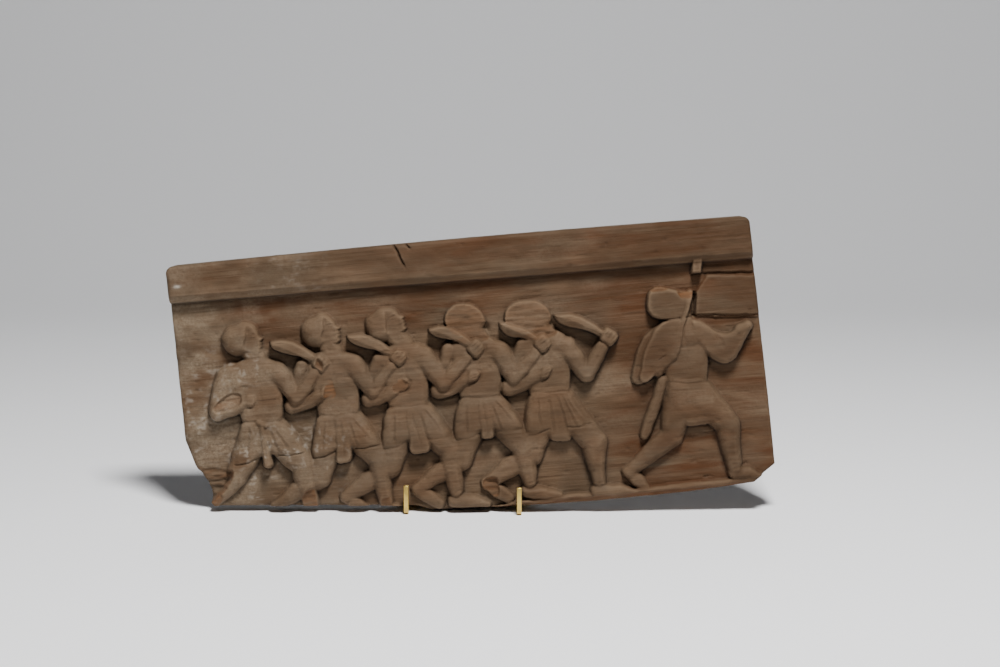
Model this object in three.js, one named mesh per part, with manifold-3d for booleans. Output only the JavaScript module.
// A weathered wooden board carved in relief with six warriors, held up by a small brass cradle.
// Millimetres, +Z up. The board has a frame of its own: x runs along the carved face, y up the face
// and z out of it, with the cut-back ground of the relief at z = 0 and the ground line at y = 0.
import * as THREE from "three";
import { mergeVertices } from "three/addons/utils/BufferGeometryUtils.js";
import Module from "manifold-3d";

const wasm = await Module();
wasm.setup();

// Board
const BOARD_LENGTH = 400;
const BOARD_HEIGHT = 184;
const BOARD_THICKNESS = 16;
const TOP_CORNER = 5;
const TOP_BOW = 1.5;
const END_FLARE = 5;
const END_CHAMFER_HEIGHT = 11;
const END_CHAMFER_LENGTH = 11;
const UNDERSIDE_BOW = 5.5;
const BROKEN_CORNER = [[1, 62], [7, 42], [10, 39], [14, 32], [16, 24], [15, 18], [17, 15.5]];
const LEAN = THREE.MathUtils.degToRad(5);
const ROLL = THREE.MathUtils.degToRad(5);

// Ledge along the top and the strip the feet stand on
const LEDGE_LOWER_LEFT = 158;
const LEDGE_LOWER_RIGHT = 154;
const LEDGE_CHAMFER = 2.5;
const GROUND_STRIP = { start: 168, full: 218, left: 2, right: 5 };
const OVERHANG = 20;

// The field right of the last head, left prouder than the ground, the peg above it, and the shakes
const FAR_FIELD = [[362, 118], [420, 115], [420, 160], [368, 160]];
const PEG = { foot: [362, 150], top: [363, 160] };
const SHAKES = [
  { from: [355, 118.5], to: [410, 115], width: 2, level: "plateau", depth: 2.4 },
  { from: [367, 147], to: [410, 144], width: 1.2, level: "plateau", depth: 1.4 },
  { from: [156.5, 186], to: [163, 168], width: 1.2, level: "ledge", depth: 2.5 },
  { from: [164, 186.5], to: [168, 181], width: 1, level: "ledge", depth: 2 },
];

// Heights of the carving over the ground
const ROOT = 3;
const CROWN = {
  ledge: 10,
  farArm: 5.5,
  farShoulder: 7,
  torso: 8,
  shoulder: 9,
  skirt: 8.2,
  sash: 9.2,
  head: 9.5,
  jaw: 8.5,
  nose: 7,
  wornHead: 7,
  arm: 10,
  blade: 8.8,
  frontLeg: 9,
  rearLeg: 7,
  foot: 6.5,
  groundStrip: 5,
  shield: 8.5,
  shieldRim: 10,
  scabbard: 8,
  plateau: 2.2,
  stub: 7,
  pole: 9.3,
};

// Half-widths of the carving at the two ends of each form
const GIRTH = {
  upperArm: [8, 7.2],
  forearm: [7.2, 5.4],
  fist: [6.8, 6.4],
  farArm: [6.6, 5.4],
  farShoulder: [5.6, 6],
  neck: [7, 7.5],
  skull: [12.4, 11.6],
  wornSkull: [11.5, 10.5],
  jaw: [8, 5.4],
  nose: [2.4, 2.2],
  thigh: [12, 8.6],
  shin: [8.4, 5.8],
  rearThigh: [11, 9],
  rearShin: [8.8, 5.4],
  foot: [5, 3.2],
  sash: [3, 4.4],
  scabbard: [5.2, 3.6],
  shieldRim: [2.6, 2.6],
  peg: [3.2, 3.2],
  pole: [2.2, 2.8],
};

// Chamfers round the flat forms, and the cuts that make belts and folds
const CHAMFER = { torso: 1.8, dress: 1.2, blade: 0.8, shield: 1.6, strip: 0.8, field: 0.6 };
const BELT_CUT = { half: 15, width: 2, depth: 1.4 };
const FOLD_CUT = { start: 5, gather: 16, lead: 3, width: 2.2, depth: 1.5 };
const BLADE = { back: 15, belly: 6, grip: 3, heel: 2.5, point: 1.5 };

// Facets of the round forms
const LIMB_SIDES = 8;
const HEAD_SIDES = 12;
const CAP_STEPS = 2;
const CUT_SIDES = 4;
const CURVE_STEPS = 4;

// Brass cradle
const BAR = 3.2;
const BEND_RADIUS = 1.2;
const SEAT_GAP = 0.3;
const LIP_CLEARANCE = 0.8;
const LIP_HEIGHT = { left: 20.5, right: 19.5 };
const RIGHT_LIP_REACH = 3;
const LEFT_SEAT = [149, 4.4];
const RIGHT_SEAT = [226.5, -2.4];
const BRACKET_SHEET = 2;
const BRACKET_WIDTH = 96;
const BRACKET_RISE = 88;
const BRACKET_DEPTH = 66;

// Finishes
const WOOD = new THREE.MeshStandardMaterial({ color: 0x6d5a45, roughness: 0.85, metalness: 0 });
const BRASS = new THREE.MeshStandardMaterial({ color: 0xb89a55, roughness: 0.35, metalness: 1 });

// Joints of a marching figure, measured from the middle of the belt
const MARCH = {
  head: [-8, 56.5],
  neck: [-2, 42],
  shoulder: [13, 33],
  elbow: [25.5, 13],
  hand: [44, 35.5],
  farShoulder: [30.5, 33.5],
  farElbow: [21, 7],
  farHand: [45, 16.5],
  bladeTip: [11, 53],
  frontHip: [7, -9],
  frontKnee: [25.5, -33],
  frontAnkle: [28, -62],
  frontHeel: [26, -68.5],
  frontToe: [48, -73],
  rearHip: [-7, -11],
  rearKnee: [-17, -42],
  rearHeel: [-49, -60],
  rearToe: [-35, -71],
  sashTip: [1.5, -32],
};

// A head turned to the right, measured from its middle
const FACE = {
  skull: [[-2.5, 0.5], [2, 1]],
  jaw: [[3, -2], [6.5, -7]],
  nose: [[12, 2], [13.8, -1.8]],
};
const WORN_HALF_LENGTH = { marcher: 3, shieldBearer: 6 };

// Outlines and forms measured from the middle of the belt
const RESTING_ARM = { shoulder: [-20, 33], elbow: [-29, 7], hand: [-6, 16] };
const SCABBARD = { mouth: [-15.5, 1], tip: [-33, -34] };
const POLE = { hand: [-6.8, 21.5], top: [5.8, 60.4] };
const SASH_TOP = [1, -3];
const TORSO = [[-13, 0], [13, 0], [14, 20], [15, 38], [4, 43], [-9, 43], [-18, 36], [-15, 18]];
const SHIELD = [[-38, 1], [-22, 6], [-5, 15], [2, 30], [-1, 44], [-16, 44], [-26, 37], [-34, 20]];
const SHIELD_RIM = [0, 7, 6, 5];
const SKIRT = {
  outline: [[-14, 2], [14, 2], [22, -10], [28, -24], [14, -28], [6, -32], [-3, -32], [-21, -26]],
  count: 4,
  spread: 36,
  fall: 22,
  sash: true,
};
const APRON = {
  outline: [[-13, 2], [13, 2], [22, -12], [29, -29], [12, -30], [-3, -28], [-17, -22]],
  count: 5,
  spread: 34,
  fall: 24,
};
const TUNIC = {
  outline: [[-13, 2], [14, 2], [19, -14], [24, -30], [8, -32], [-6, -31], [-18, -24]],
  count: 4,
  spread: 36,
  fall: 22,
};

// What each figure does of its own. A tilt turns the head back, a worn head has lost its face.
const FIGURES = [
  {
    belt: [55.4, 71.5],
    dress: SKIRT,
    tilt: 0.15,
    pose: { rearKnee: [-21, -36], rearHeel: [-38, -53], rearToe: [-39, -56], frontAnkle: [28, -64] },
    rests: true,
  },
  {
    belt: [108.2, 71.8],
    dress: SKIRT,
    tilt: 0.25,
    pose: { head: [-6.4, 57.5], frontKnee: [24.5, -33], frontAnkle: [27.5, -66] },
  },
  {
    belt: [156.8, 73.4],
    dress: SKIRT,
    tilt: 0.5,
    pose: { head: [-10.5, 57], hand: [49, 35.5], bladeTip: [18, 51], sashTip: [5.5, -34] },
  },
  {
    belt: [207, 75.2],
    dress: SKIRT,
    worn: "marcher",
    pose: {
      head: [-6.9, 54.5],
      shoulder: [14.5, 30],
      elbow: [24, 11.5],
      hand: [44, 32.5],
      farShoulder: [30, 31],
      farElbow: [19.5, 4.5],
      farHand: [44.5, 13],
      bladeTip: [17, 49.5],
      frontKnee: [25.5, -37],
      sashTip: [1.5, -29],
    },
  },
  {
    belt: [254.6, 74.2],
    dress: APRON,
    worn: "marcher",
    hidesFarArm: true,
    pose: {
      head: [-9.6, 54],
      shoulder: [14, 29],
      elbow: [26, 10.5],
      hand: [42, 34],
      bladeTip: [8, 53],
      frontKnee: [27.5, -36.5],
      frontAnkle: [28, -65],
      frontHeel: [26, -71],
      frontToe: [53, -74.5],
    },
  },
  {
    belt: [349.6, 73.1],
    dress: TUNIC,
    worn: "shieldBearer",
    shield: true,
    pose: {
      head: [-10, 56],
      shoulder: [14, 37],
      elbow: [27, 13],
      hand: [44, 35.5],
      frontKnee: [24.5, -32],
      frontHeel: [28, -65],
      frontToe: [44, -69],
      rearKnee: [-14, -36],
      rearHeel: [-46, -58.5],
    },
  },
];

function solid(geometry) {
  const bare = geometry.index ? geometry.toNonIndexed() : geometry.clone();
  bare.deleteAttribute("normal");
  bare.deleteAttribute("uv");
  const merged = mergeVertices(bare, 1e-4);
  const corners = merged.index.array;
  const triangles = [];
  for (let i = 0; i < corners.length; i += 3) {
    const [a, b, c] = corners.slice(i, i + 3);
    if (a !== b && b !== c && c !== a) {
      triangles.push(a, b, c);
    }
  }
  return new wasm.Manifold(
    new wasm.Mesh({
      numProp: 3,
      vertProperties: new Float32Array(merged.attributes.position.array),
      triVerts: new Uint32Array(triangles),
    }),
  );
}

function union(solids) {
  return solids.reduce((whole, next) => whole.add(next));
}

function geometryOf(body) {
  const mesh = body.getMesh();
  const geometry = new THREE.BufferGeometry();
  geometry.setAttribute("position", new THREE.BufferAttribute(new Float32Array(mesh.vertProperties), 3));
  geometry.setIndex(new THREE.BufferAttribute(new Uint32Array(mesh.triVerts), 1));
  return geometry;
}

// A bar with rounded ends between two points, as wide as its two half-widths and standing
// between a low and a high level at each end. A sheer one drops straight down from its widest line.
function spindle(from, to, girth, lows, highs, sides, sheer) {
  const capsule = new THREE.CapsuleGeometry(1, 2, CAP_STEPS, sides);
  const along = new THREE.Vector2(to[0] - from[0], to[1] - from[1]).normalize();
  const place = capsule.attributes.position;
  for (let i = 0; i < place.count; i++) {
    const end = place.getY(i) > 0 ? 1 : 0;
    const centre = end ? to : from;
    const flat = new THREE.Vector2(place.getX(i), place.getY(i) - (end ? 1 : -1));
    let rise = place.getZ(i);
    if (sheer && rise < -0.01) {
      rise = -1;
      if (flat.length() > 0.01) {
        flat.normalize();
      }
    }
    flat.multiplyScalar(girth[end]);
    place.setXYZ(
      i,
      centre[0] + along.x * flat.y + along.y * flat.x,
      centre[1] + along.y * flat.y - along.x * flat.x,
      (highs[end] + lows[end]) / 2 + ((highs[end] - lows[end]) / 2) * rise,
    );
  }
  return solid(capsule);
}

function limb(from, to, girth, fromCrown, toCrown = fromCrown, sides = LIMB_SIDES) {
  return spindle(from, to, girth, [-ROOT, -ROOT], [fromCrown, toCrown], sides, true);
}

function groove(from, to, width, level, depth) {
  const girth = [width / 2, width / 2];
  const lows = [level - depth, level - depth];
  const highs = [level + depth, level + depth];
  return spindle(from, to, girth, lows, highs, CUT_SIDES, false);
}

function shapeOf(points) {
  return new THREE.Shape(points.map(([x, y]) => new THREE.Vector2(x, y)));
}

// A flat form with a chamfered edge, from under the ground up to its crown.
function plate(shape, crown, chamfer, root = ROOT) {
  const geometry = new THREE.ExtrudeGeometry(shape, {
    depth: crown + root - 2 * chamfer,
    bevelEnabled: chamfer > 0,
    bevelThickness: chamfer,
    bevelSize: chamfer,
    bevelOffset: -chamfer,
    bevelSegments: 1,
    curveSegments: CURVE_STEPS,
  });
  geometry.translate(0, 0, chamfer - root);
  return solid(geometry);
}

// The sawn and broken edge of the board, from the break at the lower left round by the right.
function boardOutline() {
  const shape = new THREE.Shape();
  const right = BOARD_LENGTH;
  const top = BOARD_HEIGHT - 1;
  const [leftSeat, rightSeat] = [LEFT_SEAT, RIGHT_SEAT];
  shape.moveTo(...BROKEN_CORNER[0]);
  for (const point of BROKEN_CORNER.slice(1)) {
    shape.lineTo(...point);
  }
  shape.lineTo(...leftSeat);
  shape.quadraticCurveTo(leftSeat[0] + 9, leftSeat[1] - 1, leftSeat[0] + 16, 0);
  shape.lineTo(leftSeat[0] + 33, -1);
  shape.lineTo(...rightSeat);
  shape.quadraticCurveTo(right * 0.75, -UNDERSIDE_BOW, right - END_CHAMFER_LENGTH, 0);
  shape.lineTo(right + END_FLARE, END_CHAMFER_HEIGHT);
  shape.lineTo(right, top - TOP_CORNER);
  shape.quadraticCurveTo(right, top, right - TOP_CORNER, top);
  shape.quadraticCurveTo(right / 2, top + 2 * TOP_BOW, TOP_CORNER, top);
  shape.quadraticCurveTo(0, top, 0, top - TOP_CORNER);
  return shape;
}

function ledge() {
  const points = [
    [-OVERHANG, LEDGE_LOWER_LEFT],
    [BOARD_LENGTH + OVERHANG, LEDGE_LOWER_RIGHT],
    [BOARD_LENGTH + OVERHANG, BOARD_HEIGHT + OVERHANG],
    [-OVERHANG, BOARD_HEIGHT + OVERHANG],
  ];
  return plate(shapeOf(points), CROWN.ledge, LEDGE_CHAMFER);
}

function groundStrip() {
  const points = [
    [GROUND_STRIP.start, -OVERHANG],
    [BOARD_LENGTH + OVERHANG, -OVERHANG],
    [BOARD_LENGTH + OVERHANG, GROUND_STRIP.right],
    [GROUND_STRIP.full, GROUND_STRIP.left],
  ];
  return plate(shapeOf(points), CROWN.groundStrip, CHAMFER.strip);
}

function farField() {
  const field = plate(shapeOf(FAR_FIELD), CROWN.plateau, CHAMFER.field);
  return [field, limb(PEG.foot, PEG.top, GIRTH.peg, CROWN.stub)];
}

// A face turned to the right: skull, jaw and nose, tipped back about the middle of the head.
function head(centre, tilt) {
  const turned = ([x, y]) => [
    centre[0] + x * Math.cos(tilt) - y * Math.sin(tilt),
    centre[1] + x * Math.sin(tilt) + y * Math.cos(tilt),
  ];
  const [skull, jaw, nose] = [FACE.skull, FACE.jaw, FACE.nose].map((ends) => ends.map(turned));
  return [
    limb(...skull, GIRTH.skull, CROWN.head, CROWN.head, HEAD_SIDES),
    limb(...jaw, GIRTH.jaw, CROWN.jaw),
    limb(...nose, GIRTH.nose, CROWN.nose),
  ];
}

// A head worn down to a flattened lump.
function wornHead(centre, halfLength) {
  const back = [centre[0] - halfLength, centre[1]];
  const front = [centre[0] + halfLength, centre[1] + 1];
  return limb(back, front, GIRTH.wornSkull, CROWN.wornHead, CROWN.wornHead, HEAD_SIDES);
}

// A broad blade laid back from the fist, its back more bowed than its edge.
function blade(hand, tip) {
  const shape = new THREE.Shape();
  const [dx, dy] = [hand[0] - tip[0], hand[1] - tip[1]];
  const length = Math.hypot(dx, dy);
  const off = (share, height) => [
    tip[0] + dx * share - (dy / length) * height,
    tip[1] + dy * share + (dx / length) * height,
  ];
  shape.moveTo(...off(1, -BLADE.heel));
  shape.lineTo(...off(1, BLADE.grip));
  shape.quadraticCurveTo(...off(0.5, BLADE.back), ...off(0, BLADE.point));
  shape.lineTo(...off(0, -BLADE.point));
  shape.quadraticCurveTo(...off(0.45, -BLADE.belly), ...off(0.8, -BLADE.heel));
  return plate(shape, CROWN.blade, CHAMFER.blade);
}

function legs(at) {
  return [
    limb(at.rearHip, at.rearKnee, GIRTH.rearThigh, CROWN.rearLeg),
    limb(at.rearKnee, at.rearHeel, GIRTH.rearShin, CROWN.rearLeg, CROWN.foot),
    limb(at.rearHeel, at.rearToe, GIRTH.foot, CROWN.foot),
    limb(at.frontHip, at.frontKnee, GIRTH.thigh, CROWN.skirt, CROWN.frontLeg),
    limb(at.frontKnee, at.frontAnkle, GIRTH.shin, CROWN.frontLeg, CROWN.foot),
    limb(at.frontHeel, at.frontToe, GIRTH.foot, CROWN.foot),
  ];
}

function nearArm(at) {
  const knuckles = [at.hand[0] - GIRTH.fist[1] / 2, at.hand[1] + GIRTH.fist[1] / 2];
  return [
    limb(at.shoulder, at.elbow, GIRTH.upperArm, CROWN.shoulder, CROWN.arm),
    limb(at.elbow, at.hand, GIRTH.forearm, CROWN.arm),
    limb(at.hand, knuckles, GIRTH.fist, CROWN.arm),
  ];
}

function farArm(at) {
  const below = [at.farShoulder[0] - GIRTH.farShoulder[0] / 2, at.farShoulder[1] - 2 * GIRTH.farShoulder[0]];
  return [
    limb(at.farShoulder, below, GIRTH.farShoulder, CROWN.farShoulder, CROWN.farArm),
    limb(at.farElbow, at.farHand, GIRTH.farArm, CROWN.farArm),
  ];
}

// The arm the first warrior folds over the belly.
function restingArm(shift) {
  const [shoulder, elbow, hand] = [RESTING_ARM.shoulder, RESTING_ARM.elbow, RESTING_ARM.hand].map(shift);
  return [
    limb(shoulder, elbow, GIRTH.upperArm, CROWN.torso),
    limb(elbow, hand, GIRTH.forearm, CROWN.shoulder),
  ];
}

// The belt, and folds that fall from it and spread towards the hem.
function folds([x, y], { count, spread, fall }) {
  const { half, width, depth } = BELT_CUT;
  const cuts = [groove([x - half, y + 1], [x + half, y], width, CROWN.skirt, depth)];
  for (let i = 0; i < count; i++) {
    const share = i / (count - 1) - 0.5;
    const start = [x + share * FOLD_CUT.gather, y - FOLD_CUT.start];
    const end = [x + FOLD_CUT.lead + share * spread, y - fall];
    cuts.push(groove(start, end, FOLD_CUT.width, CROWN.skirt, FOLD_CUT.depth));
  }
  return cuts;
}

// A shield on the back arm, with a raised rim down its outer side, a slung scabbard and a pole held upright.
function shieldScabbardAndPole(shift) {
  const outline = SHIELD.map(shift);
  const [inset] = GIRTH.shieldRim;
  const rim = SHIELD_RIM.map((corner) => [outline[corner][0] + inset, outline[corner][1]]);
  const parts = [plate(shapeOf(outline), CROWN.shield, CHAMFER.shield)];
  for (let i = 0; i + 1 < rim.length; i++) {
    parts.push(limb(rim[i], rim[i + 1], GIRTH.shieldRim, CROWN.shieldRim));
  }
  parts.push(limb(shift(SCABBARD.mouth), shift(SCABBARD.tip), GIRTH.scabbard, CROWN.scabbard));
  parts.push(limb(shift(POLE.hand), shift(POLE.top), GIRTH.pole, CROWN.pole));
  return parts;
}

function figure({ belt, pose, tilt, worn, dress, shield, rests, hidesFarArm }) {
  const shift = ([x, y]) => [belt[0] + x, belt[1] + y];
  const at = {};
  for (const [joint, offset] of Object.entries({ ...MARCH, ...pose })) {
    at[joint] = shift(offset);
  }
  const parts = [
    ...legs(at),
    ...nearArm(at),
    plate(shapeOf(TORSO.map(shift)), CROWN.torso, CHAMFER.torso),
    plate(shapeOf(dress.outline.map(shift)), CROWN.skirt, CHAMFER.dress),
    limb(at.neck, at.head, GIRTH.neck, CROWN.torso),
  ];
  if (worn) {
    parts.push(wornHead(at.head, WORN_HALF_LENGTH[worn]));
  } else {
    parts.push(...head(at.head, tilt));
  }
  if (shield) {
    parts.push(...shieldScabbardAndPole(shift));
  } else {
    parts.push(blade(at.hand, at.bladeTip));
  }
  if (!shield && !hidesFarArm) {
    parts.push(...farArm(at));
  }
  if (dress.sash) {
    parts.push(limb(shift(SASH_TOP), at.sashTip, GIRTH.sash, CROWN.sash));
  }
  if (rests) {
    parts.push(...restingArm(shift));
  }
  return { parts, cuts: folds(belt, dress) };
}

function shakes() {
  return SHAKES.map(({ from, to, width, level, depth }) => groove(from, to, width, CROWN[level], depth));
}

function carvedPanel() {
  const outline = boardOutline();
  const board = plate(outline, 0, 0, BOARD_THICKNESS);
  const trim = plate(outline, CROWN.ledge + ROOT, 0);
  const figures = FIGURES.map(figure);
  const relief = union([ledge(), groundStrip(), ...farField(), ...figures.flatMap(({ parts }) => parts)]);
  const cuts = union([...shakes(), ...figures.flatMap(({ cuts: own }) => own)]);
  const panel = new THREE.Mesh(geometryOf(board.add(relief.intersect(trim)).subtract(cuts)), WOOD);
  panel.name = "carved_panel";
  panel.rotation.set(Math.PI / 2 - LEAN, 0, ROLL);
  return panel;
}

// Stands the board so that its rear lower edge rests on both bars, half-way between them at x = 0.
function seat(panel) {
  panel.updateMatrixWorld();
  const rear = ([x, y]) => new THREE.Vector3(x, y, -BOARD_THICKNESS).applyMatrix4(panel.matrixWorld);
  const left = rear(LEFT_SEAT);
  const right = rear(RIGHT_SEAT);
  panel.position.set(-(left.x + right.x) / 2, -left.y, BAR + SEAT_GAP - Math.min(left.z, right.z));
  return (right.x - left.x) / 2;
}

// Swings a profile drawn in the plane of y and z along x.
function sweep(shape, width) {
  const settings = { depth: width, bevelEnabled: false, curveSegments: CURVE_STEPS };
  const geometry = new THREE.ExtrudeGeometry(shape, settings);
  geometry.translate(0, 0, -width / 2);
  const turn = new THREE.Matrix4().makeBasis(
    new THREE.Vector3(0, 1, 0),
    new THREE.Vector3(0, 0, 1),
    new THREE.Vector3(1, 0, 0),
  );
  return geometry.applyMatrix4(turn);
}

// One square bar along the floor, bent up in front of the board.
function hook(name, x, lipHeight, reach) {
  const depth = (BOARD_THICKNESS + CROWN.groundStrip) * Math.cos(LEAN) + LIP_CLEARANCE + BAR + reach;
  const front = -depth;
  const outer = BEND_RADIUS + BAR;
  const shape = new THREE.Shape();
  shape.moveTo(front, lipHeight);
  shape.lineTo(front, outer);
  shape.absarc(front + outer, outer, outer, Math.PI, 1.5 * Math.PI, false);
  shape.lineTo(BRACKET_DEPTH, 0);
  shape.lineTo(BRACKET_DEPTH, BAR);
  shape.lineTo(front + outer, BAR);
  shape.absarc(front + outer, outer, BEND_RADIUS, 1.5 * Math.PI, Math.PI, true);
  shape.lineTo(front + BAR, lipHeight);
  const bar = new THREE.Mesh(sweep(shape, BAR), BRASS);
  bar.name = name;
  bar.position.x = x;
  return bar;
}

// A bent sheet across both bars: its foot lies on them and its back bears the board.
function backBracket() {
  const start = SEAT_GAP + 0.4;
  const slope = Math.tan(LEAN);
  const foot = BAR + BRACKET_SHEET;
  const back = (height) => start + (height - BAR) * slope;
  const points = [
    [back(BAR), BAR],
    [BRACKET_DEPTH, BAR],
    [BRACKET_DEPTH, foot],
    [back(foot) + BRACKET_SHEET, foot],
    [back(BRACKET_RISE) + BRACKET_SHEET, BRACKET_RISE],
    [back(BRACKET_RISE), BRACKET_RISE],
  ];
  const bracket = new THREE.Mesh(sweep(shapeOf(points), BRACKET_WIDTH), BRASS);
  bracket.name = "back_bracket";
  return bracket;
}

const panel = carvedPanel();
const spacing = seat(panel);
const group = new THREE.Group();
group.add(panel);
group.add(hook("left_hook", -spacing, LIP_HEIGHT.left, 0));
group.add(hook("right_hook", spacing, LIP_HEIGHT.right, RIGHT_LIP_REACH));
group.add(backBracket());

// The whole stands on its lowest faces, centred over the origin.
const middle = new THREE.Box3().setFromObject(group, true).getCenter(new THREE.Vector3());
group.position.set(-middle.x, -middle.y, 0);

export default group;
